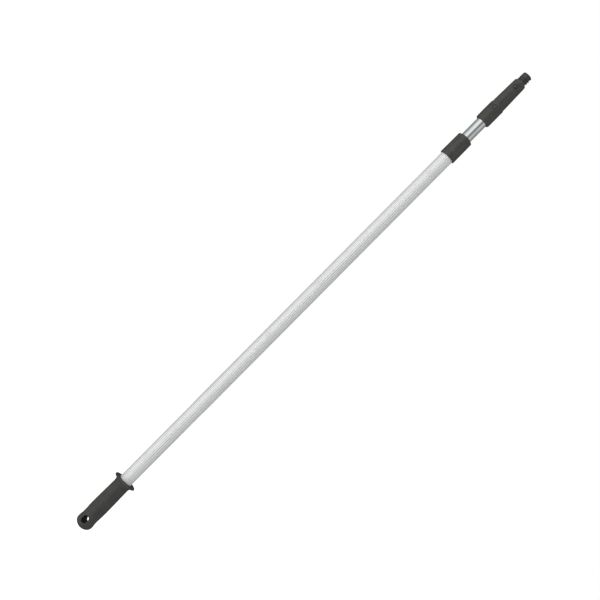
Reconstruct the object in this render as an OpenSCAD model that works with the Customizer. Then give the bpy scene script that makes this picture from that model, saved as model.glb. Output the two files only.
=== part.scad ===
// Telescopic pole for window cleaning: a fluted outer tube with a hanging grip, and a round inner
// tube that slides out of it and carries a tapered octagonal tool cone with a coarse thread.
// A twist lock inside the outer tube holds the inner tube: turning the inner section draws a
// wedge into a slotted collet. A spring button on the cone latches the tool.
//
// The pole stands along Z with its grip down, and its front, with pad and button, faces -Y.
// Heights along the pole count from the grip's rounded end; place() then moves the origin to
// the middle of the grip, where the hand holds it.

/* [Tubes] */
// Outside diameter of the outer tube, over its lands
outer_d = 28.4; // [27.5:0.1:29]
// Wall of the outer tube, under its lands
outer_wall = 1.5; // [1.4:0.05:1.6]
// Number of flutes round the outer tube
flute_count = 22; // [14:1:24]
// Depth of each flute
flute_depth = 0.3; // [0.2:0.05:0.5]
// Outside diameter of the inner tube
inner_d = 23; // [22.6:0.1:23.4]
// Wall of the inner tube
inner_wall = 1.2; // [1:0.1:1.4]
// Height of the collar's lower rim
collar_z = 1023.6; // [600:0.1:1400]
// Bare inner tube between the collar and the cone
bare_len = 46; // [6:0.5:400]

/* [Grip] */
// Greatest diameter of the handle
grip_d = 35.8; // [34:0.1:38]
// Diameter of the handle's waist above the hanging slot
waist_d = 34.3; // [32.5:0.1:34.6]
// Length of the whole grip, with its guard
grip_len = 127.5; // [120:0.5:150]
// Diameter of the guard flange
guard_d = 50; // [44:0.1:54]
// Height of the hanging slot's centre
slot_z = 21.7; // [20:0.1:24]
// Length of the hanging slot
slot_len = 17; // [14:0.5:19]
// Width of the hanging slot
slot_w = 12.4; // [10:0.1:13]

/* [Collar] */
// Diameter of the collar at its lower rim
collar_d = 34; // [33:0.1:36]
// Diameter of the collar at its upper rim
collar_top_d = 33.3; // [32:0.1:34]
// Length of the collar
collar_len = 51.5; // [46:0.5:60]

/* [Tool cone] */
// Diameter of the round sleeve
sleeve_d = 31.2; // [30.6:0.1:32]
// Length of the round sleeve
sleeve_len = 42; // [40:0.5:43]
// Width of the octagon across its ridges, at its lower end
ridge_low_d = 29.8; // [29:0.1:30.2]
// Width of the octagon across its ridges, at its upper end
ridge_high_d = 27; // [26.4:0.1:28]
// Length of the octagonal taper
taper_len = 58; // [57:0.5:62]
// Height of the rounded shoulder above the taper
shoulder_h = 4.2; // [3.6:0.1:5]

/* [Thread] */
// Diameter over the thread's crests
crest_d = 21; // [20.4:0.1:22]
// Pitch of the thread
pitch = 5.1; // [4.8:0.1:5.3]
// Number of turns
turns = 2.2; // [1.5:0.1:2.2]

/* [Button] */
// Diameter of the button
button_d = 6.6; // [5:0.1:7]
// Diameter of the recess round the button
recess_d = 9; // [8.2:0.1:10]
// Height of the button's centre above the octagon's lower end
button_rise = 45; // [38:0.5:46]

/* [Lock] */
// Number of slits in the collet
slit_count = 4; // [3:1:6]
// Half angle of the wedge
wedge_angle = 6; // [5:0.5:7]

/* [Hidden] */
$fn = 96;
eps = 0.01;

run_gap = 0.05;     // radial clearance of a running fit
seat_gap = 0.03;    // radial clearance of pieces fixed in one another
far = 60;           // longer than any cut needs to reach

// tubes
outer_r = outer_d / 2;
bore_r = outer_r - outer_wall;
tube_z = 36;
flute_w = 2.7;
flute_cut_r = (pow(flute_w / 2, 2) + pow(flute_depth, 2)) / (2 * flute_depth);
inner_r = inner_d / 2;
inner_bore_r = inner_r - inner_wall;

// grip
grip_r = grip_d / 2;
knob_r = grip_r + 0.3;
waist_r = waist_d / 2;
guard_r = guard_d / 2;
hold_z = 62;        // the middle of the handle, where the origin lies
dome_h = 14;
waist_z = 28;
palm_z = 52;        // the handle's swell under the palm
flare_z = grip_len - 13;
neck_r = 17.1;      // where the flare to the guard begins
guard_z = grip_len - 3.6;
guard_t = 2.4;
skirt_r = 15.6;
skirt_chamfer = [0.8, 0.6]; // across and up
bumper_h = 16;      // straight part of the tube plug
bumper_nose_h = 4;
bumper_step = 1;    // how far the nose starts inside the straight part
grip_steps = 12;    // bands in each curved stretch of the outline

// collar and bush
collar_r = collar_d / 2;
collar_top_r = collar_top_d / 2;
collar_top_z = collar_z + collar_len;
collar_cover = 8.5;  // how far the collar reaches above the outer tube
outer_tube_top_z = collar_top_z - collar_cover;
bush_flange_h = 3;
bush_neck_r = 13.4;
bush_lip_h = 1.7;   // how far the bush stands out of the collar
bush_sleeve_h = 24;
rim_edge = 1.4;     // rounding of the collar's rims
lip_chamfer = 0.6;

// lock, from the stud's lower end upwards
stud_r = 4;
stud_z = 106;
nut_z = stud_z + 1;
nut_h = 6.5;
nut_across = 13;
nut_washer_h = 1.4;
nut_washer_r = 8;
cone_drop = 1.5;    // how far the wedge backs out when the lock is released
wedge_play = 0.8;   // left under the wedge when it is fully backed out
wedge_z = nut_z + nut_h + nut_washer_h + cone_drop + wedge_play;
wedge_h = 25;
wedge_out = 4.8;    // how far the wedge stands out of the collet when drawn in
collet_z = wedge_z + wedge_out;
collet_h = 36;
collet_mouth_r = 10.75;
collet_cone_h = 22;
collet_cap_h = 6;
slit_w = 2.4;
slit_h = 28;
wedge_gap = 0.2;
key_w = 2;
key_h = 13;
key_inset = 0.5;    // between the wedge's keys and the tube's bore
key_root = stud_r + 2; // distance from the axis at which the keys begin
washer_h = 1.2;
washer_r = 10;
thrust_play = 0.3;
thrust_z = collet_z + collet_h + thrust_play;
plug_z = thrust_z + washer_h;
plug_flange_h = 3.5;
plug_flange_in = 0.1; // between the flange's edge and the inner tube's outside
plug_body_h = 25;
stud_hole_h = 22;
stud_end_gap = 0.2;
inner_z = plug_z + plug_flange_h;
ring_up = 2;        // of the slide ring above the tube's lower end
ring_z = inner_z + ring_up;
ring_h = 14;
rivet_z = ring_z + ring_h / 2;
rivet_r = 1.6;
rivet_in = stud_r + 1; // distance of the rivets' inner ends from the axis
stud_tip = 0.8;     // chamfer at the stud's lower end

// tool cone
tip_z = collar_top_z + bare_len;
sleeve_r = sleeve_d / 2;
rim_round = 3.6;
socket_depth = 46;
socket_r = inner_r + seat_gap;
cavity_r = 9.2;
blend_h = 6.5;      // from the round sleeve to the octagon
taper_low = sleeve_len + 5.5;
taper_high = taper_low + taper_len;
ridge_low_r = ridge_low_d / 2;
ridge_high_r = ridge_high_d / 2;
facets = 8;
facet_turn = 180 / facets;
flat_low = ridge_low_r * cos(facet_turn);
flat_high = ridge_high_r * cos(facet_turn);
flat_lean = atan((flat_low - flat_high) / taper_len);
ridge_trim = 0.15;  // moulded rounding of the ridges
lead_in = 0.3;      // of the socket at the rim
shoulder_drop = 0.6; // how far below the taper's end the shoulder starts to round
shoulder_round = shoulder_h - shoulder_drop;
shoulder_arc = 78;  // degrees of the rounding
shoulder_top_r = 10.4;
shoulder_chamfer = [0.5, 0.4]; // across and up
taper_root = 3;     // how far the octagon reaches down into the sleeve
sleeve_step = [0.25, 0.9]; // rounding of the sleeve's upper edge, across and up
blend_in = 0.3;     // how far inside the flats the blend ends
cone_h = taper_high + shoulder_h;
pad_low = 28.2;
pad_high = 44.2;
pad_w = 19;
pad_depth = 0.5;
pin_up = (pad_low + pad_high) / 2;
pin_r = 2;
pin_head_r = 3.9;
pin_groove_r = 5.1;
pin_floor = 14;     // distance of the groove's floor from the pole's axis
pin_dimple_r = 1.5;
pin_dimple_h = 0.4;
pin_sunk = 0.1;     // how far the pin's head lies under the pad
pin_back = 0.3;     // how far its other end lies under the sleeve's surface
pin_top = sleeve_r - pad_depth - pin_sunk;

// thread
crest_r = crest_d / 2;
core_r = 9.1;
ridge_base = 3.7;   // width of the thread's ridge at its root
ridge_top = 1.3;    // and at its crest
thread_low = ridge_base / 2 + 0.15; // the first ridge's middle, over the shoulder
thread_start = 150; // where the ridge begins, round from +X
thread_fade = 0.2;  // turns over which the ridge reaches its full height
blunt = 0.4;        // height of the ridge's blunt ends, as a share of its full height
thread_sides = 36;
thread_levels = 34;
pilot_r = 9.9;      // plain land above the thread
pilot_h = 1.8;
pilot_low = cone_h + 15.4;
nose_h = 2;
nose_round = 1.9;
spigot_r = 7.5;
spigot_low = cone_h - 10.4;
spigot_play = 0.2;  // left under the spigot in the cone
rod_overlap = 0.3;  // how far the thread's core reaches into the land
nose_under = 0.1;   // trimmed off the nose's middle
end_pin_r = 1.25;
end_pin_up = cone_h - 5.6;
end_pin_out = 11.9;
end_pin_in = 3;

// button, with distances from the pole's axis towards the front
button_up = taper_low + button_rise;
button_r = button_d / 2;
recess_r = recess_d / 2;
recess_floor = 11.2;
button_top = 13.3;
button_dome = 0.6;
flange_r = 4.1;
flange_front = 7.9;
flange_back = 6.7;
spring_boss_r = 1.7;
spring_boss_h = 1.4;
spring_r = 2.5;
wire_r = 0.35;
spring_coils = 5;
spring_steps = 20;
wire_sides = 8;
spring_play = 0.05; // at each end of the spring
seat_front = -5;

// Smooth step from a to b as t goes from 0 to 1
function ease(a, b, t) = a + (b - a) * (1 - cos(180 * t)) / 2;

// A quarter or other arc as points, about [r, z]
function arc(r, z, radius, from, to, steps) =
    [for (i = [0:steps]) let (a = from + (to - from) * i / steps)
        [r + radius * cos(a), z + radius * sin(a)]];

// Moves a piece drawn at its height along the pole into the part's frame
module place(up = 0) {
    translate([0, 0, up - hold_z]) children();
}

// A cylinder along the front-to-back axis, between two distances in front of the pole's axis
module to_front(r, from, to) {
    rotate([90, 0, 0]) translate([0, 0, from]) cylinder(r = r, h = to - from);
}

// A ring-shaped wall between two radii
module ring(r_out, r_in, h) {
    difference() {
        cylinder(r = r_out, h = h);
        translate([0, 0, -eps]) cylinder(r = r_in, h = h + 2 * eps);
    }
}

// A closed tube or ridge: rings of points with the same number of points in each
module sweep(rings) {
    n = len(rings[0]);
    last = len(rings) - 1;
    polyhedron(
        points = [for (ring = rings) for (p = ring) p],
        faces = concat(
            [[for (j = [0:n - 1]) j]],
            [for (i = [0:last - 1]) for (j = [0:n - 1]) let (k = (j + 1) % n)
                [i * n + j, (i + 1) * n + j, (i + 1) * n + k, i * n + k]],
            [[for (j = [n - 1:-1:0]) last * n + j]]));
}

// ---- outer section ----

module grip_outline() {
    polygon(concat(
        [[0, 0]],
        [for (i = [1:grip_steps]) let (a = 90 * i / grip_steps)
            [knob_r * sin(a), dome_h * (1 - cos(a))]],
        [for (i = [1:grip_steps]) let (t = i / grip_steps)
            [ease(knob_r, waist_r, t), dome_h + (waist_z - dome_h) * t]],
        [for (i = [1:grip_steps]) let (t = i / grip_steps)
            [ease(waist_r, grip_r, t), waist_z + (palm_z - waist_z) * t]],
        [for (i = [1:grip_steps]) let (t = i / grip_steps)
            [ease(grip_r, neck_r, t), palm_z + (flare_z - palm_z) * t]],
        [for (i = [1:grip_steps]) let (a = 90 * i / grip_steps)
            [neck_r + (guard_r - guard_t / 2 - neck_r) * (1 - cos(a)),
                flare_z + (guard_z - flare_z) * sin(a)]],
        arc(guard_r - guard_t / 2, guard_z + guard_t / 2, guard_t / 2, -60, 70, 6),
        [[skirt_r + skirt_chamfer[0], grip_len - skirt_chamfer[1]], [skirt_r, grip_len],
            [0, grip_len]]));
}

module slot_outline() {
    run = (slot_len - slot_w) / 2;
    for (side = [-1, 1]) translate([0, side * run]) circle(d = slot_w);
    square([slot_w, 2 * run], center = true);
}

module grip() {
    color("#3c3c39") place() difference() {
        rotate_extrude() grip_outline();
        translate([0, 0, tube_z]) cylinder(r = outer_r + seat_gap, h = grip_len);
        translate([0, far / 2, slot_z]) rotate([90, 0, 0]) linear_extrude(far) slot_outline();
    }
}

module outer_tube() {
    color("#c9cdce") place(tube_z) difference() {
        linear_extrude(outer_tube_top_z - tube_z) difference() {
            circle(outer_r);
            for (i = [0:flute_count - 1])
                rotate(i * 360 / flute_count)
                    translate([outer_r - flute_depth + flute_cut_r, 0]) circle(flute_cut_r);
        }
        translate([0, 0, -1]) cylinder(r = bore_r, h = outer_tube_top_z);
    }
}

module tube_plug() {
    color("#2f2f2e") place(tube_z) {
        cylinder(r = bore_r - seat_gap, h = bumper_h);
        translate([0, 0, bumper_h])
            cylinder(r1 = bore_r - bumper_step, r2 = bore_r - bumper_nose_h, h = bumper_nose_h);
    }
}

module collar() {
    color("#3f3f3c") place(collar_z) difference() {
        rotate_extrude() polygon(concat(
            [[0, 0]],
            arc(collar_r - rim_edge, rim_edge, rim_edge, -90, 0, 6),
            arc(collar_top_r - rim_edge, collar_len - rim_edge, rim_edge, 0, 90, 6),
            [[0, collar_len]]));
        translate([0, 0, -1])
            cylinder(r = outer_r + seat_gap, h = outer_tube_top_z + bush_flange_h - collar_z + 1);
        translate([0, 0, -1]) cylinder(r = bush_neck_r + seat_gap, h = collar_len + 2);
    }
}

module guide_bush() {
    neck_h = collar_len - (outer_tube_top_z + bush_flange_h - collar_z) + bush_lip_h;
    color("#343432") place(outer_tube_top_z) difference() {
        union() {
            translate([0, 0, -bush_sleeve_h])
                cylinder(r = bore_r - seat_gap, h = bush_sleeve_h + eps);
            cylinder(r = outer_r, h = bush_flange_h);
            cylinder(r = bush_neck_r, h = bush_flange_h + neck_h - lip_chamfer);
            translate([0, 0, bush_flange_h + neck_h - lip_chamfer])
                cylinder(r1 = bush_neck_r, r2 = bush_neck_r - lip_chamfer, h = lip_chamfer);
        }
        translate([0, 0, -bush_sleeve_h - 1]) cylinder(r = inner_r + run_gap, h = far);
    }
}

// ---- twist lock ----

// Radius of the collet's cone-shaped mouth at a height above its lower end
function mouth_r(up) = collet_mouth_r - up * tan(wedge_angle);

module lock_collet() {
    color("#d8d4c6") place(collet_z) difference() {
        cylinder(r = bore_r - run_gap, h = collet_h);
        translate([0, 0, -eps])
            cylinder(r1 = mouth_r(0), r2 = mouth_r(collet_cone_h), h = collet_cone_h);
        translate([0, 0, -eps])
            cylinder(r = mouth_r(collet_cone_h), h = collet_h - collet_cap_h + eps);
        translate([0, 0, -1]) cylinder(r = stud_r + 2 * run_gap, h = collet_h + 2);
        for (i = [0:slit_count - 1])
            rotate(i * 360 / slit_count) translate([0, -slit_w / 2, -1]) cube([far, slit_w, slit_h + 1]);
    }
}

module lock_cone() {
    low = wedge_z - collet_z;
    color("#8f9498") place(wedge_z) difference() {
        union() {
            cylinder(r1 = mouth_r(low) - wedge_gap, r2 = mouth_r(low + wedge_h) - wedge_gap,
                h = wedge_h);
            intersection() {
                cylinder(r = bore_r - key_inset, h = key_h);
                for (i = [0:slit_count - 1])
                    rotate(i * 360 / slit_count) translate([key_root, -key_w / 2, 0])
                        cube([far, key_w, key_h]);
            }
        }
        translate([0, 0, -1]) cylinder(r = stud_r + 2 * run_gap, h = wedge_h + 2);
    }
}

// ---- inner section ----

module inner_tube() {
    color("#cfd3d4") place() difference() {
        translate([0, 0, inner_z]) ring(inner_r, inner_bore_r, tip_z + socket_depth - inner_z);
        translate([0, 0, rivet_z]) rotate([0, 90, 0])
            cylinder(r = rivet_r + seat_gap, h = far, center = true);
        translate([0, 0, tip_z + pin_up]) to_front(pin_r + seat_gap, -far, far);
    }
}

module lock_plug() {
    color("#2f2f2e") place(plug_z) difference() {
        union() {
            cylinder(r = inner_r - plug_flange_in, h = plug_flange_h);
            cylinder(r = inner_bore_r - seat_gap, h = plug_flange_h + plug_body_h);
        }
        translate([0, 0, -1]) cylinder(r = stud_r + seat_gap, h = stud_hole_h + 1);
        translate([0, 0, rivet_z - plug_z]) rotate([0, 90, 0])
            cylinder(r = rivet_r + seat_gap, h = far, center = true);
    }
}

module plug_rivets() {
    color("#b9bcbd") place(rivet_z)
        for (side = [0, 180]) rotate([0, 0, side])
            intersection() {
                translate([rivet_in, 0, 0]) rotate([0, 90, 0]) cylinder(r = rivet_r, h = inner_r);
                cylinder(r = inner_r - seat_gap, h = far, center = true);
            }
}

module lock_stud() {
    color("#9a9d9f") place(stud_z) {
        cylinder(r1 = stud_r - stud_tip, r2 = stud_r, h = stud_tip);
        translate([0, 0, stud_tip])
            cylinder(r = stud_r, h = plug_z + stud_hole_h - stud_z - stud_tip - stud_end_gap);
    }
}

module thrust_washer() {
    color("#9a9d9f") place(thrust_z) ring(washer_r, stud_r + seat_gap, washer_h);
}

module stop_washer() {
    color("#9a9d9f") place(nut_z + nut_h) ring(nut_washer_r, stud_r + seat_gap, nut_washer_h);
}

module stop_nut() {
    color("#8d9092") place(nut_z) difference() {
        cylinder(d = nut_across / cos(30), h = nut_h, $fn = 6);
        translate([0, 0, -1]) cylinder(r = stud_r + seat_gap, h = nut_h + 2);
    }
}

module slide_ring() {
    color("#e2dfd6") place(ring_z) ring(bore_r - run_gap, inner_r + seat_gap, ring_h);
}

// The octagon's body of revolution: its flats are cut from this
module taper_body() {
    rotate_extrude() polygon(concat(
        [[0, sleeve_len - taper_root], [ridge_low_r - ridge_trim, sleeve_len - taper_root],
            [ridge_low_r - ridge_trim, taper_low]],
        arc(ridge_high_r - ridge_trim - shoulder_round, taper_high - shoulder_drop, shoulder_round,
            0, shoulder_arc, 8),
        [[shoulder_top_r, cone_h - shoulder_chamfer[1]],
            [shoulder_top_r - shoulder_chamfer[0], cone_h], [0, cone_h]]));
}

module taper_flats() {
    for (i = [0:facets - 1])
        rotate(-90 + facet_turn * (2 * i + 1))
            translate([flat_low, 0, taper_low]) rotate([0, -flat_lean, 0])
                translate([0, -far / 2, -far]) cube([far, far, 3 * far]);
}

module sleeve_body() {
    rotate_extrude() polygon(concat(
        [[0, 0], [socket_r + lead_in, 0]],
        arc(sleeve_r - rim_round, rim_round, rim_round, -75, 0, 8),
        [[sleeve_r, sleeve_len], [sleeve_r - sleeve_step[0], sleeve_len + sleeve_step[1]],
            [flat_low - blend_in, sleeve_len + blend_h], [0, sleeve_len + blend_h]]));
}

module tip_cone() {
    color("#3d3d3a") place(tip_z) difference() {
        union() {
            sleeve_body();
            difference() {
                taper_body();
                taper_flats();
            }
        }
        // socket for the inner tube, cavity for the button, bore for the threaded plug
        translate([0, 0, -1]) cylinder(r = socket_r, h = socket_depth + 1);
        cylinder(r = cavity_r, h = spigot_low);
        cylinder(r = spigot_r + seat_gap, h = cone_h + 1);
        // shallow pad on the front, following the sleeve's curve
        intersection() {
            translate([0, 0, pad_low]) ring(sleeve_r + 1, sleeve_r - pad_depth, pad_high - pad_low);
            translate([-pad_w / 2, -far, 0]) cube([pad_w, far, far]);
        }
        // cross pin's hole and the groove round its head
        translate([0, 0, pin_up]) {
            to_front(pin_r + seat_gap, -far, far);
            to_front(pin_groove_r, pin_floor, far);
        }
        // button hole and its recess
        translate([0, 0, button_up]) {
            to_front(button_r + run_gap, 0, far);
            to_front(recess_r, recess_floor, far);
        }
        translate([0, 0, end_pin_up]) rotate([0, 90, 0])
            cylinder(r = end_pin_r + seat_gap, h = far, center = true);
    }
}

module cone_pin() {
    color("#42423f") place(tip_z + pin_up) difference() {
        union() {
            to_front(pin_r, -sleeve_r + pin_back, pin_floor + eps);
            to_front(pin_head_r, pin_floor, pin_top);
        }
        to_front(pin_dimple_r, pin_top - pin_dimple_h, far);
    }
}

// How high the thread's ridge stands at an angle and a height over the shoulder, from 0 to 1
function ridge_rise(a, up) =
    let (climb = (up - thread_low) / pitch - (a - thread_start) / 360,
        off = climb - round(climb),
        along = (up - thread_low) / pitch - off)
    along < 0 || along > turns ? 0 :
        min(1, blunt + along / thread_fade, blunt + (turns - along) / thread_fade)
            * max(0, min(1, (ridge_base / 2 - abs(off) * pitch) / (ridge_base - ridge_top) * 2));

module threaded_rod() {
    rod_h = pilot_low - cone_h + rod_overlap;
    translate([0, 0, cone_h])
        sweep([for (i = [0:thread_levels]) let (up = rod_h * i / thread_levels)
            [for (j = [0:thread_sides - 1])
                let (a = j * 360 / thread_sides, r = core_r + (crest_r - core_r) * ridge_rise(a, up))
                [r * cos(a), r * sin(a), up]]]);
}

module thread_end() {
    color("#393936") place(tip_z) difference() {
        union() {
            translate([0, 0, spigot_low + spigot_play]) cylinder(r = spigot_r, h = cone_h - spigot_low);
            threaded_rod();
            translate([0, 0, pilot_low]) cylinder(r = pilot_r, h = pilot_h + eps);
            translate([0, 0, pilot_low + pilot_h]) rotate_extrude() polygon(concat(
                [[0, 0]], arc(pilot_r - nose_round, 0, nose_round, 0, 90, 6), [[0, nose_h - nose_under]]));
        }
        translate([0, 0, end_pin_up]) rotate([0, 90, 0])
            cylinder(r = end_pin_r + seat_gap, h = far, center = true);
    }
}

module end_pins() {
    color("#9a9d9f") place(tip_z + end_pin_up)
        for (side = [0, 180]) rotate([0, 0, side])
            translate([end_pin_in, 0, 0]) rotate([0, 90, 0])
                cylinder(r = end_pin_r, h = end_pin_out - end_pin_in);
}

module spring_seat() {
    color("#343432") place(tip_z + button_up) intersection() {
        union() {
            to_front(flange_r, -far, seat_front);
            to_front(spring_boss_r, seat_front - eps, seat_front + spring_boss_h);
        }
        cylinder(r = cavity_r - seat_gap, h = far, center = true);
    }
}

module button_spring() {
    run = flange_back - seat_front - 2 * (wire_r + spring_play);
    steps = spring_coils * spring_steps;
    color("#b9bcbd") place(tip_z + button_up) rotate([90, 0, 0])
        translate([0, 0, seat_front + wire_r + spring_play])
            sweep([for (i = [0:steps]) let (a = i * 360 / spring_steps)
                [for (j = [0:wire_sides - 1]) let (b = -j * 360 / wire_sides)
                    [(spring_r + wire_r * cos(b)) * cos(a), (spring_r + wire_r * cos(b)) * sin(a),
                        run * i / steps + wire_r * sin(b)]]]);
}

// ---- button ----

module lock_button() {
    color("#454542") place(tip_z + button_up) {
        to_front(spring_boss_r, flange_back - spring_boss_h, flange_back + eps);
        to_front(flange_r, flange_back, flange_front);
        to_front(button_r, flange_front - eps, button_top);
        rotate([90, 0, 0]) translate([0, 0, button_top])
            cylinder(r1 = button_r, r2 = button_r - 2 * button_dome, h = button_dome);
    }
}

grip();
outer_tube();
tube_plug();
collar();
guide_bush();
lock_collet();
lock_cone();
inner_tube();
lock_plug();
plug_rivets();
lock_stud();
thrust_washer();
stop_washer();
stop_nut();
slide_ring();
tip_cone();
cone_pin();
thread_end();
end_pins();
spring_seat();
button_spring();
lock_button();
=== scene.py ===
"""The telescopic window-cleaning pole as it looks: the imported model's own pieces with finished materials,
and finer meshes for the outer tube, the thread and the button's spring. Lengths are in metres."""

import math

import bmesh
import bpy
from mathutils import Matrix, Vector


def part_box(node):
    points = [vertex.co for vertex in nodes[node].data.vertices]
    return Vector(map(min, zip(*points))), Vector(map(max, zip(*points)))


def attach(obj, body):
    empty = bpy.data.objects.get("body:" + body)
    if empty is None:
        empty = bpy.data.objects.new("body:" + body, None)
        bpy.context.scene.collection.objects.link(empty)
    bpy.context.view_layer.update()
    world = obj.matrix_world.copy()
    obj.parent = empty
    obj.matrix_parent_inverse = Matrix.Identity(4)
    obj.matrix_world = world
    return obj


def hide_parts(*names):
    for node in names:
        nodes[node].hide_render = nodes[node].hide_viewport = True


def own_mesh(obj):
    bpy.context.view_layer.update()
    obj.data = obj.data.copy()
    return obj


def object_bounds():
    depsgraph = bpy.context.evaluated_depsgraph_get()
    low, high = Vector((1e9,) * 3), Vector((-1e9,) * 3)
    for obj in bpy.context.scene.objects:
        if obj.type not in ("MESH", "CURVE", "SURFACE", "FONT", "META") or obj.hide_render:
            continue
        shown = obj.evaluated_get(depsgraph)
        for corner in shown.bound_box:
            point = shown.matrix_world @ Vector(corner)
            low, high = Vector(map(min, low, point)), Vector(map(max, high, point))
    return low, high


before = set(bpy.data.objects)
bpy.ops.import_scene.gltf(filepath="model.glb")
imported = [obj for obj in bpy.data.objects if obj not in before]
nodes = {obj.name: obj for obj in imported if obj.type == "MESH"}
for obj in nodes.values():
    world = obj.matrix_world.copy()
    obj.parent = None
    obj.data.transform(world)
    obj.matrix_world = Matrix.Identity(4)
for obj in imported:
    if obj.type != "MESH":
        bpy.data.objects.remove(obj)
cad_low, cad_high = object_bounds()
scene = bpy.context.scene

MM = 0.001

# Sizes taken from the CAD. PIN_UP, SLEEVE_LEN and BUTTON_UP are heights above the cone's lower rim.
OUTER_R, BORE_R, FLUTE_DEPTH = 14.2 * MM, 12.7 * MM, 0.3 * MM
PIN_UP, PIN_HEAD_R, GROOVE_R = 36.2 * MM, 3.9 * MM, 5.1 * MM
PAD_HALF, PAD_W = 8 * MM, 19 * MM
SLEEVE_LEN = 42 * MM
BUTTON_UP, RECESS_R = 92.5 * MM, 4.5 * MM
GUARD_DOWN = 2.4 * MM  # the guard's middle, below the grip's top

# ---- camera: the pole lies from lower left to upper right, seen level and slightly from the right ----

CAMERA_AZIMUTH = math.radians(13)
CAMERA_ROLL = math.radians(45.2)
CAMERA_DISTANCE = 2.0
CAMERA_HEIGHT = 0.559
CAMERA_SIDE = 0.0072  # how far the aim passes beside the pole's axis
LENS = 61

toward_camera = Vector((math.sin(CAMERA_AZIMUTH), -math.cos(CAMERA_AZIMUTH), 0))
level_right = Vector((math.cos(CAMERA_AZIMUTH), math.sin(CAMERA_AZIMUTH), 0))
up_pole = Vector((0, 0, 1))
right = level_right * math.sin(CAMERA_ROLL) + up_pole * math.cos(CAMERA_ROLL)
up = up_pole * math.sin(CAMERA_ROLL) - level_right * math.cos(CAMERA_ROLL)
aim = Vector((0, 0, CAMERA_HEIGHT)) - level_right * CAMERA_SIDE

camera_data = bpy.data.cameras.new("camera")
camera_data.lens = LENS
camera_data.clip_start, camera_data.clip_end = 0.05, 50
camera = bpy.data.objects.new("camera", camera_data)
turn = Matrix((right, up, toward_camera)).transposed().to_4x4()
camera.matrix_world = Matrix.Translation(aim + toward_camera * CAMERA_DISTANCE) @ turn
scene.collection.objects.link(camera)
scene.camera = camera
scene.view_settings.view_transform = "Standard"


# ---- building materials from shader nodes ----

def wire(tree, source, target):
    tree.links.new(source, target)


class Shader:
    """Builds one procedural material, with short calls for the nodes used here."""

    def __init__(self, name):
        self.material = bpy.data.materials.new(name)
        self.material.use_nodes = True
        self.tree = self.material.node_tree
        self.bsdf = next(n for n in self.tree.nodes if n.type == "BSDF_PRINCIPLED")
        self.place = self.tree.nodes.new("ShaderNodeTexCoord").outputs["Object"]

    def node(self, kind, **settings):
        made = self.tree.nodes.new(kind)
        for key, value in settings.items():
            setattr(made, key, value)
        return made

    def stretched(self, scale, turned=(0, 0, 0)):
        mapping = self.node("ShaderNodeMapping")
        wire(self.tree, self.place, mapping.inputs["Vector"])
        mapping.inputs["Scale"].default_value = scale
        mapping.inputs["Rotation"].default_value = turned
        return mapping.outputs["Vector"]

    def noise(self, scale, detail=2.0, rough=0.5, vector=None, distortion=0.0):
        made = self.node("ShaderNodeTexNoise")
        wire(self.tree, vector or self.place, made.inputs["Vector"])
        for key, value in (("Scale", scale), ("Detail", detail), ("Roughness", rough),
                           ("Distortion", distortion)):
            made.inputs[key].default_value = value
        return made.outputs["Fac"]

    def cells(self, scale):
        made = self.node("ShaderNodeTexVoronoi", feature="F1")
        wire(self.tree, self.place, made.inputs["Vector"])
        made.inputs["Scale"].default_value = scale
        return made.outputs["Distance"]

    def remap(self, value, low, high, out_low=0.0, out_high=1.0):
        made = self.node("ShaderNodeMapRange", interpolation_type="SMOOTHSTEP")
        wire(self.tree, value, made.inputs["Value"])
        for key, number in (("From Min", low), ("From Max", high),
                            ("To Min", out_low), ("To Max", out_high)):
            made.inputs[key].default_value = number
        return made.outputs["Result"]

    def math(self, operation, a, b=0.0, clamp=False):
        made = self.node("ShaderNodeMath", operation=operation, use_clamp=clamp)
        for socket, value in zip(made.inputs, (a, b)):
            if isinstance(value, (int, float)):
                socket.default_value = value
            else:
                wire(self.tree, value, socket)
        return made.outputs[0]

    def mix(self, factor, a, b):
        made = self.node("ShaderNodeMix", data_type="RGBA", blend_type="MIX")
        for name, value in (("Factor", factor), ("A", a), ("B", b)):
            socket = next(s for s in made.inputs if s.name == name and s.enabled)
            if isinstance(value, tuple):
                socket.default_value = (*value, 1.0)
            else:
                wire(self.tree, value, socket)
        return next(s for s in made.outputs if s.enabled)

    def tint(self, colour, mask, share, tone):
        """Lays tone over colour, at the given share where the mask is 1."""
        return self.mix(self.math("MULTIPLY", mask, share), colour, tone)

    def average(self, a, b, share):
        """A weighted average of two values, with the given share of a."""
        return self.math("ADD", self.math("MULTIPLY", a, share), self.math("MULTIPLY", b, 1 - share))

    def axis(self, name):
        made = self.node("ShaderNodeSeparateXYZ")
        wire(self.tree, self.place, made.inputs[0])
        return made.outputs[name]

    def length(self, a, b):
        squares = self.math("ADD", self.math("MULTIPLY", a, a), self.math("MULTIPLY", b, b))
        return self.math("SQRT", squares)

    def bump(self, height, strength, distance, under=None):
        made = self.node("ShaderNodeBump")
        made.inputs["Strength"].default_value = strength
        made.inputs["Distance"].default_value = distance
        wire(self.tree, height, made.inputs["Height"])
        if under is not None:
            wire(self.tree, under, made.inputs["Normal"])
        return made.outputs["Normal"]

    def finish(self, colour, rough, normal=None, **fixed):
        wire(self.tree, colour, self.bsdf.inputs["Base Color"])
        wire(self.tree, rough, self.bsdf.inputs["Roughness"])
        if normal is not None:
            wire(self.tree, normal, self.bsdf.inputs["Normal"])
        for key, value in fixed.items():
            self.bsdf.inputs[key.replace("_", " ")].default_value = value
        return self.material


# In the recipes below a noise's scale is in features per metre, and the limits given to remap choose how
# much of the noise shows.

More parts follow.
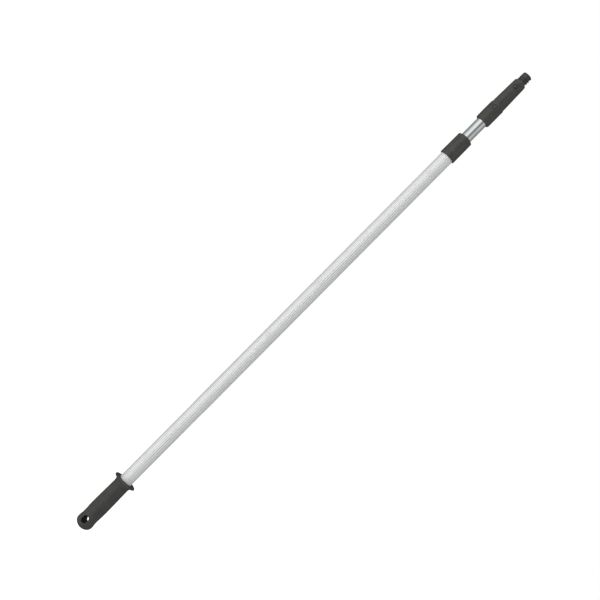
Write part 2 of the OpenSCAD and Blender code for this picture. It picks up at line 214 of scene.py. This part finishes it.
WEAR_REACH = 1.5 * MM
SEAM_HALF_W, SEAM_FADE, SEAM_DEPTH = 0.05 * MM, 0.22 * MM, 0.06 * MM
PIT_TO_GRAIN = 1.6  # how much wider a pit is than the grain
BORE_FADE = 0.3 * MM  # the flutes' shade fades in over this width outside the bore
FLUTE_LIP = 0.1  # the share of a flute's depth that the painted shade leaves clear at its lip
LINE_DEPTH, DING_DEPTH = 0.006 * MM, 0.03 * MM
TOOL_MARK_DEPTH, FLOW_MARK_DEPTH = 0.03 * MM, 0.03 * MM


def shaded(colour, factor):
    """The colour made darker or lighter, and never past white."""
    return tuple(min(1.0, part * factor) for part in colour)


def edge_band(shader, heights, reach):
    """A mask that is 1 at each height along the pole and falls to 0 within reach."""
    z = shader.axis("Z")
    total = None
    for height in heights:
        off = shader.math("ABSOLUTE", shader.math("SUBTRACT", z, height))
        band = shader.remap(off, 0.0, reach, 1.0, 0.0)
        total = band if total is None else shader.math("MAXIMUM", total, band)
    return total


def moulded_plastic(name, dark, light, rough, grain_mm=0.45, grain_depth=0.05, wear_heights=(), gloss=0.5,
                    parting=True, painted_crevice_shade=None):
    """Satin moulded plastic: an eroded grain, cloudy tone, handling marks, worn rims, a parting line.
    The last argument, if given, makes a mask that is 1 where painted shade darkens the surface."""
    s = Shader(name)
    grain = s.noise(1 / (grain_mm * MM), detail=3.0, rough=0.62)
    pits = s.cells(1 / (PIT_TO_GRAIN * grain_mm * MM))
    clouds = s.noise(55, detail=3.0, rough=0.6)
    patches = s.noise(260, detail=2.0, rough=0.55)
    tone = s.average(clouds, patches, 0.55)
    colour = s.mix(s.remap(tone, 0.36, 0.64), dark, light)
    colour = s.tint(colour, s.remap(grain, 0.54, 0.72), 0.45, shaded(light, 2.1))
    scuffs = s.noise(1, detail=2.0, vector=s.stretched((1500, 1500, 38), (0.05, 0.11, 0)))
    scuffs = s.remap(scuffs, 0.68, 0.76)
    where = s.remap(s.noise(34, detail=1.0), 0.5, 0.68)
    scuffs = s.math("MULTIPLY", scuffs, where)
    colour = s.tint(colour, scuffs, 0.5, shaded(light, 2.6))
    if wear_heights:
        worn = s.math("MULTIPLY", edge_band(s, wear_heights, WEAR_REACH), s.remap(patches, 0.4, 0.62))
        colour = s.tint(colour, worn, 0.45, shaded(light, 2.4))
    # Painted shade: the grooves, steps and recesses that the mask picks out are darkened in the colour.
    if painted_crevice_shade is not None:
        colour = s.tint(colour, painted_crevice_shade(s), 0.8, shaded(dark, 0.18))
    roughness = s.math("ADD", s.remap(clouds, 0.3, 0.7, rough - 0.06, rough + 0.06),
                       s.remap(patches, 0.3, 0.7, -0.04, 0.04))
    roughness = s.math("SUBTRACT", roughness, s.math("MULTIPLY", scuffs, 0.12), clamp=True)
    height = s.math("SUBTRACT", grain, s.math("MULTIPLY", s.remap(pits, 0.0, 0.5, 1.0, 0.0), 0.5))
    height = s.math("SUBTRACT", height, s.math("MULTIPLY", scuffs, 0.6))
    normal = s.bump(height, 0.6, grain_depth * MM)
    if parting:
        off = s.math("ABSOLUTE", s.axis("Y"))
        seam = s.remap(off, SEAM_HALF_W, SEAM_FADE, 1.0, 0.0)
        normal = s.bump(seam, 0.5, SEAM_DEPTH, under=normal)
    return s.finish(colour, roughness, normal, Specular_IOR_Level=gloss)


# How the cone's shade fades: over an edge, and past the groove, the pad's ends, its sides and the recess.
SHADE_EDGE = 0.1 * MM
GROOVE_FADE, STEP_FADE, SIDE_FADE, RECESS_FADE = 0.5 * MM, 0.8 * MM, 0.6 * MM, 0.4 * MM
STEP_SHADE = 0.7
# Each shade covers what lies forward of the first depth, and is gone behind the second.
PAD_FRONT_Y = (-13 * MM, -12 * MM)
RECESS_FRONT_Y = (-11 * MM, -10.5 * MM)


def cone_painted_shade(s):
    """A mask for painted shade in the groove round the cross pin, at the steps at the pad's ends and in the
    button's recess.
    """
    height = s.math("SUBTRACT", s.axis("Z"), cone_low.z + PIN_UP)
    reach = s.length(s.axis("X"), height)
    inside = s.remap(reach, PIN_HEAD_R - SHADE_EDGE, PIN_HEAD_R + SHADE_EDGE)
    outside = s.remap(reach, GROOVE_R - SHADE_EDGE, GROOVE_R + GROOVE_FADE, 1.0, 0.0)
    front = s.remap(s.axis("Y"), *PAD_FRONT_Y, 1.0, 0.0)
    ring = s.math("MULTIPLY", s.math("MULTIPLY", inside, outside), front)
    step = s.math("ABSOLUTE", s.math("SUBTRACT", s.math("ABSOLUTE", height), PAD_HALF))
    step = s.remap(step, SHADE_EDGE, STEP_FADE, STEP_SHADE, 0.0)
    across = s.remap(s.math("ABSOLUTE", s.axis("X")), PAD_W / 2, PAD_W / 2 + SIDE_FADE, 1.0, 0.0)
    step = s.math("MULTIPLY", s.math("MULTIPLY", step, across), front)
    recess = s.length(s.axis("X"), s.math("SUBTRACT", s.axis("Z"), cone_low.z + BUTTON_UP))
    recess = s.remap(recess, RECESS_R - SHADE_EDGE, RECESS_R + RECESS_FADE, 1.0, 0.0)
    recess = s.math("MULTIPLY", recess, s.remap(s.axis("Y"), *RECESS_FRONT_Y, 1.0, 0.0))
    return s.math("MAXIMUM", s.math("MAXIMUM", ring, step), recess)


def drawn_aluminium(name, base, dull, rough, rubbed=0.0, flute_shade=0.0):
    """Satin anodised extrusion: fine lines along the pole, faint stains, handling scratches, a few dings.
    flute_shade darkens the bottoms of the flutes with painted shade, which draws the flutes as lines along
    the tube."""
    s = Shader(name)
    lines = s.noise(1, detail=4.0, rough=0.7, vector=s.stretched((2600, 2600, 5)))
    broad = s.noise(1, detail=2.0, rough=0.5, vector=s.stretched((700, 700, 2.2)))
    clouds = s.noise(26, detail=4.0, rough=0.62)
    tone = s.average(lines, broad, 0.6)
    colour = s.mix(s.remap(tone, 0.34, 0.66), dull, base)
    stain = s.remap(clouds, 0.52, 0.72)
    colour = s.tint(colour, stain, 0.18, shaded(dull, 0.8))
    # Painted shade in the flute bottoms, darkened in the colour so that the flutes show as lines.
    if flute_shade:
        radius = s.length(s.axis("X"), s.axis("Y"))
        flute = s.remap(radius, OUTER_R - FLUTE_DEPTH, OUTER_R - FLUTE_LIP * FLUTE_DEPTH, 1.0, 0.0)
        flute = s.math("MULTIPLY", flute, s.remap(radius, BORE_R, BORE_R + BORE_FADE))
        colour = s.tint(colour, flute, flute_shade, shaded(dull, 0.6))
    scratch = s.noise(1, detail=1.0, vector=s.stretched((3400, 3400, 26), (0.16, -0.12, 0)))
    scratch = s.math("MULTIPLY", s.remap(scratch, 0.69, 0.75), s.remap(s.noise(18), 0.5, 0.66))
    hoops = s.noise(1, detail=1.0, vector=s.stretched((26, 26, 2600)))
    hoops = s.math("MULTIPLY", s.remap(hoops, 0.62, 0.74), rubbed)
    marks = s.math("MAXIMUM", scratch, hoops)
    colour = s.tint(colour, marks, 0.3, shaded(dull, 0.62))
    roughness = s.math("ADD", s.remap(tone, 0.3, 0.7, rough - 0.05, rough + 0.06),
                       s.math("ADD", s.math("MULTIPLY", stain, 0.08), s.math("MULTIPLY", marks, 0.1)))
    height = s.math("SUBTRACT", tone, s.math("MULTIPLY", marks, 0.5))
    normal = s.bump(height, 0.35, LINE_DEPTH)
    dings = s.remap(s.cells(95), 0.0, 0.05)
    normal = s.bump(dings, 0.2, DING_DEPTH, under=normal)
    return s.finish(colour, roughness, normal, Metallic=1.0)


def turned_metal(name, base, dull, rough, cast=False):
    """Turned or die-cast metal for the lock's pieces: tool marks round the pole, or a cast skin."""
    s = Shader(name)
    if cast:
        marks = s.noise(1400, detail=4.0, rough=0.65)
        fine = s.noise(5200, detail=1.0)
    else:
        marks = s.noise(1, detail=3.0, rough=0.6, vector=s.stretched((240, 240, 5200)))
        fine = s.noise(900, detail=3.0)
    tone = s.average(marks, fine, 0.65)
    colour = s.mix(s.remap(tone, 0.35, 0.65), dull, base)
    grease = s.remap(s.noise(120, detail=3.0), 0.5, 0.7)
    colour = s.tint(colour, grease, 0.3, shaded(dull, 0.55))
    roughness = s.remap(tone, 0.3, 0.7, rough - 0.06, rough + 0.08)
    normal = s.bump(tone, 0.4, TOOL_MARK_DEPTH)
    return s.finish(colour, roughness, normal, Metallic=1.0)


def pale_plastic(name, base, dull, rough):
    """Milky acetal for the collet and the slide ring, with flow marks and grey rubbing."""
    s = Shader(name)
    flow = s.noise(150, detail=3.0, rough=0.6, distortion=1.2)
    fine = s.noise(2200, detail=2.0)
    colour = s.mix(s.remap(flow, 0.35, 0.65), dull, base)
    rub = s.noise(1, detail=2.0, vector=s.stretched((1900, 1900, 45)))
    colour = s.tint(colour, s.remap(rub, 0.6, 0.72), 0.45, shaded(dull, 0.6))
    roughness = s.remap(flow, 0.3, 0.7, rough - 0.05, rough + 0.07)
    normal = s.bump(fine, 0.3, FLOW_MARK_DEPTH)
    return s.finish(colour, roughness, normal, Subsurface_Weight=0.15, Subsurface_Scale=2 * MM)


# ---- finer meshes for the three pieces whose CAD mesh is coarse: outer tube, thread and spring ----

def skin(name, rings, material, sharp_rings=(), looped=False):
    """A closed mesh through rings that all have the same number of points. The rings in sharp_rings keep
    a crisp edge. If looped, the last ring joins the first, or else both ends are capped."""
    shape = bmesh.new()
    rows = [[shape.verts.new(point) for point in ring] for ring in rings]
    count = len(rings[0])
    pairs = list(zip(range(len(rows)), range(1, len(rows))))
    if looped:
        pairs.append((len(rows) - 1, 0))
    for low, high in pairs:
        for j in range(count):
            k = (j + 1) % count
            face = shape.faces.new((rows[low][j], rows[low][k], rows[high][k], rows[high][j]))
            face.smooth = True
    if not looped:
        shape.faces.new(rows[0][::-1])
        shape.faces.new(rows[-1])
    for i in sharp_rings:
        for j in range(count):
            edge = shape.edges.get((rows[i][j], rows[i][(j + 1) % count]))
            edge.smooth = False
    bmesh.ops.recalc_face_normals(shape, faces=shape.faces)
    mesh = bpy.data.meshes.new(name)
    shape.to_mesh(mesh)
    shape.free()
    mesh.materials.append(material)
    piece = bpy.data.objects.new(name, mesh)
    scene.collection.objects.link(piece)
    return piece


def smooth_round(values, times):
    """Averages each value with its two neighbours round a closed ring, the given number of times."""
    for _ in range(times):
        count = len(values)
        values = [(values[i - 1] + 2 * values[i] + values[(i + 1) % count]) / 4 for i in range(count)]
    return values


# The outer tube's section, as in the CAD: flutes cut by circles, here with softened arrises.
FLUTES, FLUTE_W = 22, 2.7 * MM
FLUTE_CUT_R = ((FLUTE_W / 2) ** 2 + FLUTE_DEPTH ** 2) / (2 * FLUTE_DEPTH)
FLUTE_STEPS, ARRIS_PASSES = 18, 2
TUBE_BANDS = 48


def fluted_radius(angle):
    """The outer tube's radius at an angle round the pole."""
    pitch = 2 * math.pi / FLUTES
    off = (angle + pitch / 2) % pitch - pitch / 2
    centre = OUTER_R - FLUTE_DEPTH + FLUTE_CUT_R
    side = centre * math.sin(off)
    if abs(side) >= FLUTE_CUT_R:
        return OUTER_R
    return min(OUTER_R, centre * math.cos(off) - math.sqrt(FLUTE_CUT_R ** 2 - side ** 2))


def build_outer_tube():
    low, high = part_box("outer_tube")
    count = FLUTES * FLUTE_STEPS
    angles = [2 * math.pi * i / count for i in range(count)]
    radii = smooth_round([fluted_radius(a) for a in angles], ARRIS_PASSES)

    def ring(height, values):
        return [(r * math.cos(a), r * math.sin(a), height) for r, a in zip(values, angles)]

    heights = [low.z + (high.z - low.z) * i / TUBE_BANDS for i in range(TUBE_BANDS + 1)]
    rings = [ring(h, radii) for h in heights] + [ring(h, [BORE_R] * count) for h in reversed(heights)]
    last = len(heights)
    ends = (0, last - 1, last, 2 * last - 1)
    return skin("fluted_outer_tube", rings, outer_material, ends, looped=True)


# The thread, as in the CAD: a right-hand ridge on a core, a plain land and a rounded nose. Heights are
# above the cone's top.
CORE_R, CREST_R, PITCH, TURNS = 9.1 * MM, 10.5 * MM, 5.1 * MM, 2.2
RIDGE_BASE, RIDGE_TOP = 3.7 * MM, 1.3 * MM
RIDGE_ROUNDING = 0.6  # the share of a rounded flank, the rest being straight
THREAD_START = math.radians(150)
THREAD_FADE, BLUNT = 0.2, 0.4  # turns that a rise from nothing would take, and the ends' actual start
RIDGE_GAP = 0.15 * MM  # from the cone's top to the ridge's foot
THREAD_LOW = RIDGE_BASE / 2 + RIDGE_GAP
LAND_R, LAND_H, LAND_UP = 9.9 * MM, 1.8 * MM, 15.4 * MM
LAND_BEVEL, LAND_SEAM = 0.15 * MM, 0.02 * MM
NOSE_R, NOSE_STEPS = 1.9 * MM, 9
SPIGOT_R = 7.5 * MM
THREAD_SIDES, THREAD_LEVELS = 144, 150


def ridge_rise(angle, height):
    """How high the ridge stands at an angle and a height above the cone's top, from 0 to 1."""
    climb = (height - THREAD_LOW) / PITCH - (angle - THREAD_START) / (2 * math.pi)
    off = climb - round(climb)
    along = (height - THREAD_LOW) / PITCH - off
    if along < 0 or along > TURNS:
        return 0.0
    ends = min(1.0, BLUNT + along / THREAD_FADE, BLUNT + (TURNS - along) / THREAD_FADE)
    slope = (RIDGE_BASE / 2 - abs(off) * PITCH) / (RIDGE_BASE - RIDGE_TOP) * 2
    slope = max(0.0, min(1.0, slope))
    rounded = slope * slope * (3 - 2 * slope)
    return ends * (rounded * RIDGE_ROUNDING + slope * (1 - RIDGE_ROUNDING))


def build_thread():
    shoulder = cone_high.z
    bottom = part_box("thread_end")[0].z
    angles = [2 * math.pi * j / THREAD_SIDES for j in range(THREAD_SIDES)]

    def plain(radius, height):
        return [(radius * math.cos(a), radius * math.sin(a), height) for a in angles]

    def threaded(rise):
        radii = [CORE_R + (CREST_R - CORE_R) * ridge_rise(a, rise) for a in angles]
        return [(r * math.cos(a), r * math.sin(a), shoulder + rise) for r, a in zip(radii, angles)]

    rings = [plain(SPIGOT_R, bottom), plain(SPIGOT_R, shoulder), plain(CORE_R, shoulder)]
    rings += [threaded(LAND_UP * i / THREAD_LEVELS) for i in range(1, THREAD_LEVELS + 1)]
    land = shoulder + LAND_UP
    rings += [plain(LAND_R - LAND_BEVEL, land + LAND_SEAM), plain(LAND_R, land + LAND_BEVEL),
              plain(LAND_R, land + LAND_H)]
    for i in range(1, NOSE_STEPS + 1):
        bend = math.radians(90 * i / NOSE_STEPS)
        radius = LAND_R - NOSE_R + NOSE_R * math.cos(bend)
        rings.append(plain(radius, land + LAND_H + NOSE_R * math.sin(bend)))
    edges = (0, 1, 2, THREAD_LEVELS + 2, THREAD_LEVELS + 3)
    return skin("moulded_thread", rings, thread_material, edges)


# The button's spring, as in the CAD but of round wire.
SPRING_R, WIRE_R, COILS = 2.5 * MM, 0.35 * MM, 5
COIL_STEPS, WIRE_SIDES = 32, 14


def build_spring():
    low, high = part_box("button_spring")
    centre = (low.z + high.z) / 2
    start, run = high.y - WIRE_R, high.y - low.y - 2 * WIRE_R
    steps = COILS * COIL_STEPS
    rings = []
    for i in range(steps + 1):
        coil_angle = 2 * math.pi * i / COIL_STEPS
        ring = []
        for j in range(WIRE_SIDES):
            wire_angle = 2 * math.pi * j / WIRE_SIDES
            reach = SPRING_R + WIRE_R * math.cos(wire_angle)
            depth = start - run * i / steps + WIRE_R * math.sin(wire_angle)
            ring.append((reach * math.cos(coil_angle), depth, centre + reach * math.sin(coil_angle)))
        rings.append(ring)
    return skin("wire_button_spring", rings, steel_material, (0, steps))


# ---- every node's material ----

collar_low, collar_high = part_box("collar")
cone_low, cone_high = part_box("tip_cone")
grip_low, grip_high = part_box("grip")

GRIP_DARK, GRIP_LIGHT = (0.038, 0.038, 0.034), (0.057, 0.057, 0.051)
BODY_DARK, BODY_LIGHT = (0.037, 0.037, 0.033), (0.056, 0.056, 0.050)
THREAD_DARK, THREAD_LIGHT = (0.024, 0.024, 0.021), (0.038, 0.038, 0.034)
BUTTON_DARK, BUTTON_LIGHT = (0.036, 0.036, 0.032), (0.055, 0.055, 0.049)

SHOULDER_WEAR_DOWN = 3 * MM  # the worn band under the cone's top

grip_material = moulded_plastic("grip_plastic_moulded", GRIP_DARK, GRIP_LIGHT, 0.6, grain_mm=0.6,
                                grain_depth=0.08, gloss=0.35,
                                wear_heights=(grip_low.z, grip_high.z - GUARD_DOWN))
collar_material = moulded_plastic("collar_plastic_moulded", BODY_DARK, BODY_LIGHT, 0.44, gloss=0.42,
                                  wear_heights=(collar_low.z, collar_high.z))
cone_material = moulded_plastic("cone_plastic_moulded", BODY_DARK, BODY_LIGHT, 0.5, gloss=0.4,
                                wear_heights=(cone_low.z, cone_low.z + SLEEVE_LEN,
                                              cone_high.z - SHOULDER_WEAR_DOWN),
                                painted_crevice_shade=cone_painted_shade)
bush_material = moulded_plastic("bush_plastic_moulded", THREAD_DARK, THREAD_LIGHT, 0.4, grain_mm=0.3,
                                parting=False)
thread_material = moulded_plastic("thread_plastic_moulded", THREAD_DARK, THREAD_LIGHT, 0.4, grain_mm=0.35,
                                  grain_depth=0.03)
button_material = moulded_plastic("button_plastic_moulded", BUTTON_DARK, BUTTON_LIGHT, 0.48, grain_mm=0.3,
                                  grain_depth=0.02, gloss=0.4, parting=False)
outer_material = drawn_aluminium("outer_aluminium_drawn", (0.96, 0.975, 0.97), (0.89, 0.91, 0.905),
                                 0.68, flute_shade=0.5)
inner_material = drawn_aluminium("inner_aluminium_drawn", (0.575, 0.595, 0.595), (0.525, 0.545, 0.545),
                                 0.2, rubbed=0.5)
rivet_material = drawn_aluminium("rivet_aluminium_headed", (0.8, 0.81, 0.82), (0.68, 0.69, 0.7), 0.32)
zinc_material = turned_metal("zinc_cast_skin", (0.55, 0.56, 0.58), (0.42, 0.43, 0.45), 0.46, cast=True)
steel_material = turned_metal("steel_turned", (0.62, 0.63, 0.64), (0.5, 0.51, 0.52), 0.32)
acetal_material = pale_plastic("pale_plastic_milky", (0.78, 0.76, 0.7), (0.66, 0.64, 0.58), 0.42)

for node_name, material in {
    "grip": grip_material, "outer_tube": outer_material, "tube_plug": bush_material,
    "collar": collar_material, "guide_bush": bush_material, "lock_collet": acetal_material,
    "lock_cone": zinc_material, "inner_tube": inner_material, "lock_plug": bush_material,
    "plug_rivets": rivet_material, "lock_stud": steel_material, "thrust_washer": steel_material,
    "stop_washer": steel_material, "stop_nut": steel_material, "slide_ring": acetal_material,
    "tip_cone": cone_material, "cone_pin": button_material, "thread_end": thread_material,
    "end_pins": steel_material, "spring_seat": bush_material, "button_spring": steel_material,
    "lock_button": button_material,
}.items():
    for material_slot in nodes[node_name].material_slots:
        material_slot.material = material


# ---- the finer meshes take their nodes' places ----

def stand_in(piece, node_name, body):
    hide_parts(node_name)
    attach(piece, body)
    return piece


stand_in(build_outer_tube(), "outer_tube", "outer_section")
stand_in(build_thread(), "thread_end", "inner_section")
spring_piece = stand_in(build_spring(), "button_spring", "inner_section")
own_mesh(spring_piece)


# ---- floor and light ----

FLOOR_DROP = 0.14  # from the pole's lower end to the floor
FLOOR_R, FLOOR_SIDES = 3.2, 96
FLOOR_GLOW = 0.75

floor_mesh = bpy.data.meshes.new("floor")
shape = bmesh.new()
bmesh.ops.create_circle(shape, cap_ends=True, segments=FLOOR_SIDES, radius=FLOOR_R)
shape.to_mesh(floor_mesh)
shape.free()
floor = bpy.data.objects.new("floor", floor_mesh)
floor.location.z = cad_low.z - FLOOR_DROP
scene.collection.objects.link(floor)
paper = Shader("floor_pale")
fibre = paper.noise(700, detail=3.0)
paper_colour = paper.mix(paper.remap(fibre, 0.3, 0.7), (0.86, 0.86, 0.86), (0.9, 0.9, 0.9))
paper_rough = paper.remap(fibre, 0.3, 0.7, 0.7, 0.8)
paper.finish(paper_colour, paper_rough, Emission_Color=(1, 1, 1, 1), Emission_Strength=FLOOR_GLOW)
floor_mesh.materials.append(paper.material)
floor.visible_glossy = False
floor.visible_diffuse = False

# Brightness of the studio round the pole, by the angle from the camera towards its right, in degrees:
# soft strip lights with darker gaps between them, which draw the bands along the metal tubes.
STUDIO = [(-180, 0.08), (-146, 0.13), (-126, 0.36), (-108, 0.52), (-90, 0.64), (-74, 0.92), (-52, 1.3),
          (-34, 1.7), (-18, 1.26), (-2, 0.72), (9, 0.3), (18, 0.25), (28, 0.36), (44, 0.8), (60, 0.96),
          (76, 0.66), (90, 0.44), (106, 0.5), (122, 0.46), (140, 0.16), (180, 0.08)]

world = bpy.data.worlds.new("studio")
scene.world = world
world.use_nodes = True
tree = world.node_tree
tree.nodes.clear()
direction = tree.nodes.new("ShaderNodeTexCoord").outputs["Generated"]
angle = tree.nodes.new("ShaderNodeMath")
angle.operation = "ARCTAN2"
for angle_input, unit in zip(angle.inputs, (level_right, toward_camera)):
    part = tree.nodes.new("ShaderNodeVectorMath")
    part.operation = "DOT_PRODUCT"
    part.inputs[1].default_value = unit
    wire(tree, direction, part.inputs[0])
    wire(tree, part.outputs["Value"], angle_input)
share = tree.nodes.new("ShaderNodeMapRange")
share.inputs["From Min"].default_value = -math.pi
share.inputs["From Max"].default_value = math.pi
wire(tree, angle.outputs[0], share.inputs["Value"])
ramp = tree.nodes.new("ShaderNodeValToRGB")
ramp.color_ramp.interpolation = "EASE"
stops = ramp.color_ramp.elements
BRIGHTEST = max(v for _, v in STUDIO)
while len(stops) < len(STUDIO):
    stops.new(0.5)
for stop, (degrees, value) in zip(stops, STUDIO):
    stop.position = (degrees + 180) / 360
    stop.color = (value / BRIGHTEST,) * 3 + (1,)
wire(tree, share.outputs[0], ramp.inputs["Fac"])
strips = tree.nodes.new("ShaderNodeBackground")
strips.inputs["Strength"].default_value = BRIGHTEST
wire(tree, ramp.outputs["Color"], strips.inputs["Color"])
white = tree.nodes.new("ShaderNodeBackground")
white.inputs["Color"].default_value = (1, 1, 1, 1)
seen = tree.nodes.new("ShaderNodeLightPath")
choose = tree.nodes.new("ShaderNodeMixShader")
wire(tree, seen.outputs["Is Camera Ray"], choose.inputs[0])
wire(tree, strips.outputs[0], choose.inputs[1])
wire(tree, white.outputs[0], choose.inputs[2])
out = tree.nodes.new("ShaderNodeOutputWorld")
wire(tree, choose.outputs[0], out.inputs["Surface"])
